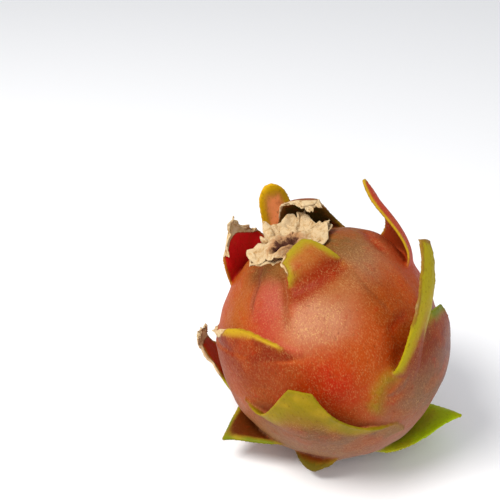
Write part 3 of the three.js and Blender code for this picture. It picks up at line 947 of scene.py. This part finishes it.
def make_withered_end(scale, first, last, curl, size, seed):
    """Papery remains at a scale's tip, torn and curled over."""
    bm, s, share = sheet_from_grid(*REMAINS_GRID)
    u = (s * 2 - 1) * 1.02
    torn = np.array([noise.noise(Vector((a * 2.2, seed, 0))) * 0.5
                     + noise.noise(Vector((a * 6, seed, 4))) * 0.3 for a in u])
    v = first + (last - first) * share * (1 + torn)
    whole_tip = {**scale, "dry": 0, "lip": 0, "tip": max(scale["tip"], 0.5), "round": 0}
    middle = np.zeros(len(u))
    points = blade_points(whole_tip, u, np.minimum(v, REACH - 0.01), middle, middle)
    _, _, faces = mid_line(scale)
    far = share ** 1.5
    flat = np.stack([u * scale["tongue"] / 2, v * scale["length"], u * 0], axis=1)
    points += np.outer(far * curl, faces[-1])
    points += crumpled(flat, 4.0, seed) * (0.3 + size * far)[:, None]
    points += crumpled(flat, 1.8, seed + 2) * 0.35
    return finished_sheet(bm, points, REMAINS_THICKNESS)


layers = joined([make_corolla(**layer) for layer in FLOWER_LAYERS])
corolla = shown("dried_flower_layers", mesh_of("dried_flower_layers", layers))
stamens = joined([make_thread(k) for k in range(THREADS)])
threads = shown("dried_flower_threads", mesh_of("dried_flower_threads", stamens))
for piece in (corolla, threads):
    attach(piece, "root")
    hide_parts("dried_flower")
remains = joined([make_withered_end(scale, **scale["remains"]) for scale in SCALES if scale["remains"]])
withered = shown("withered_tips", mesh_of("withered_tips", remains))
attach(withered, "root")
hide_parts("fruit")


class Value:
    """A number or colour that varies over a surface, so that shader maths reads as arithmetic."""

    def __init__(self, finish, socket):
        self.finish = finish
        self.socket = socket

    def maths(self, operation, one, other):
        return self.finish.node("ShaderNodeMath", dict(operation=operation), {0: one, 1: other})

    def __add__(self, other):
        return self.maths("ADD", self, other)

    def __sub__(self, other):
        return self.maths("SUBTRACT", self, other)

    def __rsub__(self, other):
        return self.maths("SUBTRACT", other, self)

    def __mul__(self, other):
        return self.maths("MULTIPLY", self, other)

    __radd__ = __add__
    __rmul__ = __mul__


class Finish:
    """One material and the nodes that make it."""

    def __init__(self, name, **shader):
        self.material = bpy.data.materials.new(name)
        self.material.use_nodes = True
        self.tree = self.material.node_tree
        self.shader = self.tree.nodes["Principled BSDF"]
        for socket, value in shader.items():
            self.shader.inputs[socket.replace("_", " ")].default_value = value

    def node(self, kind, settings=None, inputs=None, output=0):
        """Adds a node: its settings first, then the values or links of its sockets."""
        node = self.tree.nodes.new(kind)
        for name, value in (settings or {}).items():
            setattr(node, name, value)
        for name, value in (inputs or {}).items():
            if isinstance(value, Value):
                self.tree.links.new(value.socket, node.inputs[name])
            elif isinstance(value, np.ndarray):
                node.inputs[name].default_value = (*value, 1)
            else:
                node.inputs[name].default_value = value
        return Value(self, node.outputs[output])

    def attribute(self, name, output="Fac"):
        return self.node("ShaderNodeAttribute", dict(attribute_name=name), output=output)

    def mixed(self, colour, other, factor):
        return self.node("ShaderNodeMix", dict(data_type="RGBA"), {0: factor, 6: colour, 7: other}, output=2)

    def between(self, value, low, high, start=0.0, end=1.0):
        """start where the value is low, end where it is high, and smooth in between."""
        return self.node("ShaderNodeMapRange", dict(interpolation_type="SMOOTHSTEP"),
                         {"Value": value, "From Min": low, "From Max": high,
                          "To Min": start, "To Max": end})

    def noise(self, vector, scale, detail=3.0, roughness=0.5, distortion=0.0):
        return self.node("ShaderNodeTexNoise", None,
                         {"Vector": vector, "Scale": scale, "Detail": detail, "Roughness": roughness,
                          "Distortion": distortion})

    def spots(self, vector, scale):
        """Distance to the nearest of many scattered spots."""
        return self.node("ShaderNodeTexVoronoi", None, {"Vector": vector, "Scale": scale},
                         output="Distance")

    def along_fruit(self, stretch=1.0):
        """Places in mm in the fruit's own frame, drawn out along its axis."""
        place = self.node("ShaderNodeTexCoord", output="Object")
        turn = LAID_TURN.transposed()
        shift = turn @ Vector((0, 0, -CENTRE_HEIGHT))
        place = self.node("ShaderNodeMapping", None,
                          {"Vector": place, "Location": shift, "Rotation": turn.to_euler(),
                           "Scale": (1 / MM, 1 / MM, 1 / MM)})
        return self.node("ShaderNodeMapping", None, {"Vector": place, "Scale": (1, 1, 1 / stretch)})

    def straw(self, place):
        """Dried tissue: cream, with tan and brown in random patches and veins."""
        patches = self.noise(place, 0.35, 5, 0.65, 0.6)
        veins = self.noise(place, 1.4, 4, 0.7, 1.2)
        straw = self.mixed(srgb(204, 178, 138), srgb(184, 148, 100), self.between(patches, 0.45, 0.65))
        straw = self.mixed(straw, srgb(128, 86, 52), self.between(patches, 0.6, 0.74, 0, 0.7))
        return self.mixed(straw, srgb(120, 76, 42), self.between(veins, 0.57, 0.73, 0, 0.55))

    def bump(self, height, strength, distance, below=None):
        inputs = {"Height": height, "Strength": strength, "Distance": distance * MM}
        if below:
            inputs["Normal"] = below
        return self.node("ShaderNodeBump", None, inputs)

    def set(self, socket, value):
        self.tree.links.new(value.socket, self.shader.inputs[socket])


def make_skin_finish():
    finish = Finish("waxy_skin", Specular_IOR_Level=SHINE)
    place = finish.along_fruit()
    drawn_out = finish.along_fruit(2.0)
    mottle = finish.noise(place, 0.06, 4, 0.55)
    blotch = finish.noise(place, 0.2, 5, 0.6, 0.4)
    fine = finish.noise(drawn_out, 1.1, 4, 0.65)
    colour = finish.attribute("ground", "Color")
    plain = 1.3 - finish.attribute("flecks_and_glints")
    colour = finish.mixed(colour, ORANGE, finish.between(mottle, 0.52, 0.66, 0, 0.4) * plain)
    colour = finish.mixed(colour, DEEP_RED, finish.between(blotch, 0.54, 0.74, 0, 0.45) * plain)
    colour = finish.mixed(colour, TAN, finish.between(blotch, 0.46, 0.3, 0, 0.12))
    # dark lines along the creases: painted shade
    line = finish.attribute("line")
    colour = finish.mixed(colour, srgb(92, 40, 30), finish.between(line, 0.25, 0.9, 0, 0.75))

    # Green margins run through yellow into the skin's own colour
    ragged = finish.noise(drawn_out, 0.35, 4, 0.6)
    green = finish.attribute("green") + (ragged - 0.5) * 0.3
    rim = finish.attribute("rim", "Color")
    colour = finish.mixed(colour, finish.mixed(rim, TAN, 0.45), finish.between(green, 0.02, 0.4, 0, 0.7))
    lime = finish.mixed(rim, YELLOW, finish.between(finish.noise(place, 0.12, 2), 0.45, 0.7, 0, 0.5))
    colour = finish.mixed(colour, lime, finish.between(green, 0.2, 0.75))

    # Fine pale flecks, longer along the fruit than across it: partly pale dots of the skin, partly painted
    # glints off its waxy bumps, strongest in the painted highlights
    inner = finish.attribute("inner")
    flecks_and_glints = finish.between(finish.spots(drawn_out, 1.9), 0.46, 0.14)
    grain = finish.between(finish.noise(drawn_out, 1.7, 3, 0.6), 0.5, 0.66)
    strength = finish.between(finish.noise(place, 0.3, 3), 0.35, 0.65, 0.5, 1.0)
    strength = strength * finish.attribute("flecks_and_glints")
    pale = (flecks_and_glints * 0.75 + grain * 0.5) * strength * (1 - finish.between(green, 0.2, 0.6, 0, 0.85))
    pale = pale * (1 - inner * 0.85)
    colour = finish.mixed(colour, tone(255, 206, 150), pale * 0.66)
    colour = finish.mixed(colour, BROWN * 0.4, finish.between(fine, 0.54, 0.76, 0, 0.5))

    # Withered tips and margins turn brown, then straw
    dry = finish.attribute("dry") + (ragged - 0.5) * 0.4
    dry_edge = finish.between(dry, 0.3, 0.55)
    colour = finish.mixed(colour, srgb(120, 62, 26), finish.between(dry, 0.12, 0.35, 0, 0.7))
    colour = finish.mixed(colour, finish.straw(place), dry_edge)
    finish.set("Base Color", colour)
    finish.set("Roughness", finish.between(fine, 0.3, 0.7, 0.4, 0.55) + dry_edge * 0.35)
    low = finish.bump(blotch + line * -1.5, 0.4, 1.0)
    finish.set("Normal", finish.bump(pale + fine * 0.4, 0.4, 0.22, low))
    return finish.material


def make_flower_finish():
    finish = Finish("papery_flower", Specular_IOR_Level=SHINE)
    place = finish.along_fruit()
    fine = finish.noise(place, 2.2, 5, 0.7, 0.5)
    where = finish.node("ShaderNodeMapping", None, {"Vector": place, "Location": Vector(-FLOWER_MIDDLE)})
    middle = finish.node("ShaderNodeVectorMath", dict(operation="LENGTH"), {0: where}, output="Value")
    ragged = finish.noise(place, 0.6, 3, 0.6)
    colour = finish.straw(place)
    brown = finish.between(middle + ragged * 4, 11.5, 8.5, 0, 0.85)
    colour = finish.mixed(colour, srgb(168, 120, 78), brown)
    dark = finish.between(middle + ragged * 6, 9.6, 7.8, 0, 0.95)
    colour = finish.mixed(colour, srgb(70, 34, 26), dark)
    finish.set("Base Color", colour)
    finish.set("Roughness", finish.between(fine, 0.3, 0.7, 0.7, 0.9))
    folds = finish.bump(finish.noise(place, 0.8, 4, 0.6, 0.8), 0.6, 0.8)
    finish.set("Normal", finish.bump(fine, 0.5, 0.3, folds))
    return finish.material


def make_thread_finish():
    finish = Finish("dried_threads", Specular_IOR_Level=SHINE)
    place = finish.along_fruit()
    shade = finish.noise(place, 0.7, 3, 0.6)
    colour = finish.mixed(srgb(62, 24, 30), srgb(130, 78, 52), finish.between(shade, 0.5, 0.7))
    finish.set("Base Color", colour)
    finish.set("Roughness", finish.between(shade, 0.3, 0.7, 0.7, 0.9))
    return finish.material


def make_tip_finish():
    finish = Finish("papery_tips", Specular_IOR_Level=SHINE)
    place = finish.along_fruit()
    fine = finish.noise(place, 2.0, 5, 0.7, 0.5)
    finish.set("Base Color", finish.straw(place))
    finish.set("Roughness", finish.between(fine, 0.3, 0.7, 0.7, 0.9))
    finish.set("Normal", finish.bump(fine, 0.5, 0.3))
    return finish.material


skin.data.materials.append(make_skin_finish())
corolla.data.materials.append(make_flower_finish())
threads.data.materials.append(make_thread_finish())
withered.data.materials.append(make_tip_finish())
bpy.context.scene.view_settings.view_transform = "Standard"


def make_floor():
    bm = bmesh.new()
    bmesh.ops.create_grid(bm, x_segments=1, y_segments=1, size=3)
    floor = shown("floor", mesh_of("floor", bm))
    pale = bpy.data.materials.new("pale_floor")
    pale.use_nodes = True
    pale.node_tree.nodes["Principled BSDF"].inputs["Base Color"].default_value = (0.95, 0.95, 0.96, 1)
    floor.data.materials.append(pale)


def area_light(name, place_at, aim, size, power, colour):
    light = bpy.data.lights.new(name, "AREA")
    light.shape = "DISK"
    light.size = size
    light.energy = power
    light.color = colour
    lamp = bpy.data.objects.new(name, light)
    lamp.location = place_at
    lamp.rotation_euler = (Vector(aim) - Vector(place_at)).to_track_quat("-Z", "Y").to_euler()
    bpy.context.scene.collection.objects.link(lamp)


def make_sky():
    world = bpy.data.worlds.new("sky")
    world.use_nodes = True
    background = world.node_tree.nodes["Background"]
    background.inputs["Color"].default_value = (0.95, 0.97, 1, 1)
    background.inputs["Strength"].default_value = 0.62
    bpy.context.scene.world = world


# Where the fruit's middle lies in a picture of this many pixels, and how it is looked down on
PICTURE_SIZE = 500
FRUIT_PIXEL = (339.5, 339.0)
PIXELS_PER_MM = 2.55
FRUIT_MIDDLE = Vector((0, 0, 0.044))
CAMERA_DISTANCE = 0.4
CAMERA_HEIGHT = math.radians(33)
SENSOR_WIDTH = 36
LENS_TRIM = 0.985  # found by fitting the picture to the photograph


def place_camera():
    lens = bpy.data.cameras.new("camera")
    lens.sensor_width = SENSOR_WIDTH
    lens.lens = SENSOR_WIDTH * PIXELS_PER_MM * CAMERA_DISTANCE / MM * LENS_TRIM / PICTURE_SIZE
    camera = bpy.data.objects.new("camera", lens)
    way = Vector((0, -math.cos(CAMERA_HEIGHT), math.sin(CAMERA_HEIGHT)))
    camera.location = FRUIT_MIDDLE + CAMERA_DISTANCE * way
    picture_up = Vector((0, math.sin(CAMERA_HEIGHT), math.cos(CAMERA_HEIGHT)))
    right, down = ((pixel - PICTURE_SIZE / 2) / PIXELS_PER_MM * MM for pixel in FRUIT_PIXEL)
    aim = FRUIT_MIDDLE - Vector((right, 0, 0)) + picture_up * down
    camera.rotation_euler = (aim - camera.location).to_track_quat("-Z", "Y").to_euler()
    bpy.context.scene.collection.objects.link(camera)
    bpy.context.scene.camera = camera


make_floor()
area_light("window", (-0.45, -0.35, 0.8), (0, 0, 0.04), 0.45, 9, (1, 0.98, 0.95))
area_light("fill", (0.7, -0.6, 0.5), (0, 0, 0.04), 0.8, 2, (0.92, 0.95, 1))
make_sky()
place_camera()
